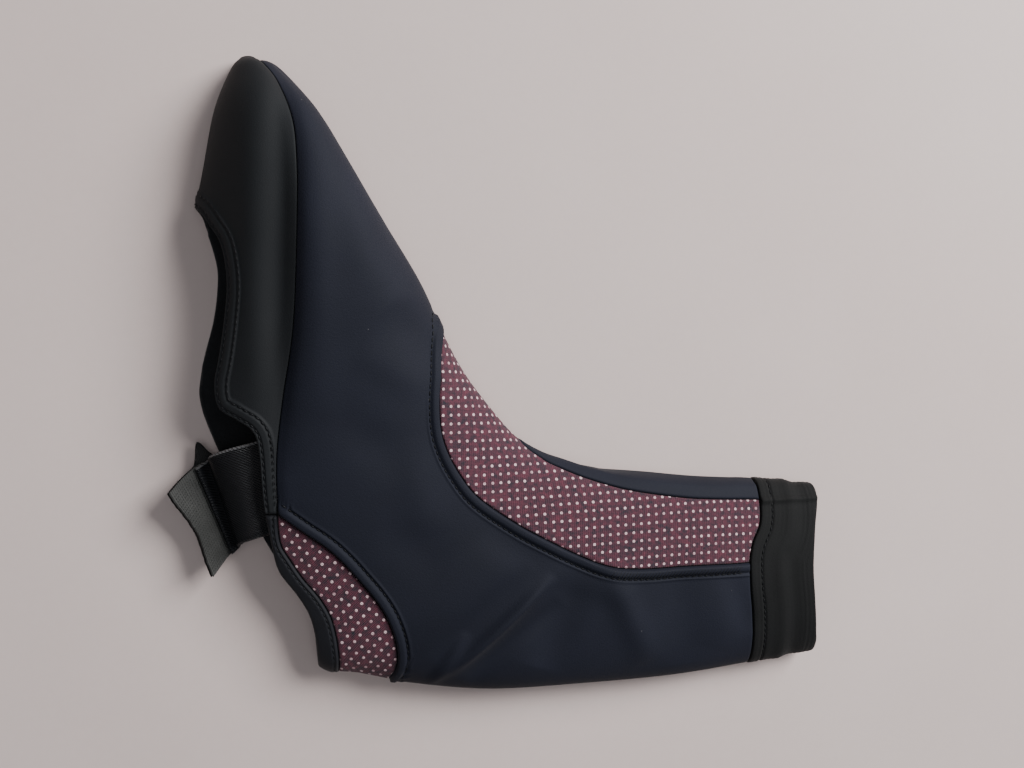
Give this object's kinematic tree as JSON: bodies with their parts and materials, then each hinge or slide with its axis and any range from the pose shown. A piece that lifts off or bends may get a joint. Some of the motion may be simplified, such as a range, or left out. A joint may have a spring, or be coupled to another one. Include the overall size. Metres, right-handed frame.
{
  "type": "cycling overshoe",
  "caption": "Softshell boot cover for a cycling shoe, hollow and slack, lying on its inner side, with knit panels, an elastic cuff and an arch strap under the open sole.",
  "frame": {"origin": "on the floor, at a point of the flat inner side under the ankle, where the leg and the foot meet", "axes": "+X up the leg towards the cuff, +Y along the foot towards the toe, +Z off the floor, out of the outer side"},
  "size_m": [0.2755, 0.2592, 0.04],
  "materials": {
    "softshell": "matt navy-black softshell with a fine dull nap",
    "coated_cloth": "matt black coated cloth",
    "dotted_knit": "mottled maroon and charcoal knit with pale dots in rows",
    "binding_tape": "matt black stretch tape",
    "cuff_elastic": "matt black ribbed elastic",
    "strap_elastic": "black woven elastic with a slight sheen and a fine diagonal grain",
    "strap_backing": "matt black webbing",
    "hook_tape": "dark grey hook tape"
  },
  "bodies": {
    "root": {"upper": "softshell", "sole_panel": "coated_cloth", "shin_insert": "dotted_knit", "heel_insert": "dotted_knit", "heel_binding": "binding_tape", "cuff": "cuff_elastic", "strap_elastic": "strap_elastic", "strap_tab": "strap_backing", "hook_tape": "hook_tape"}
  },
  "joints": []
}
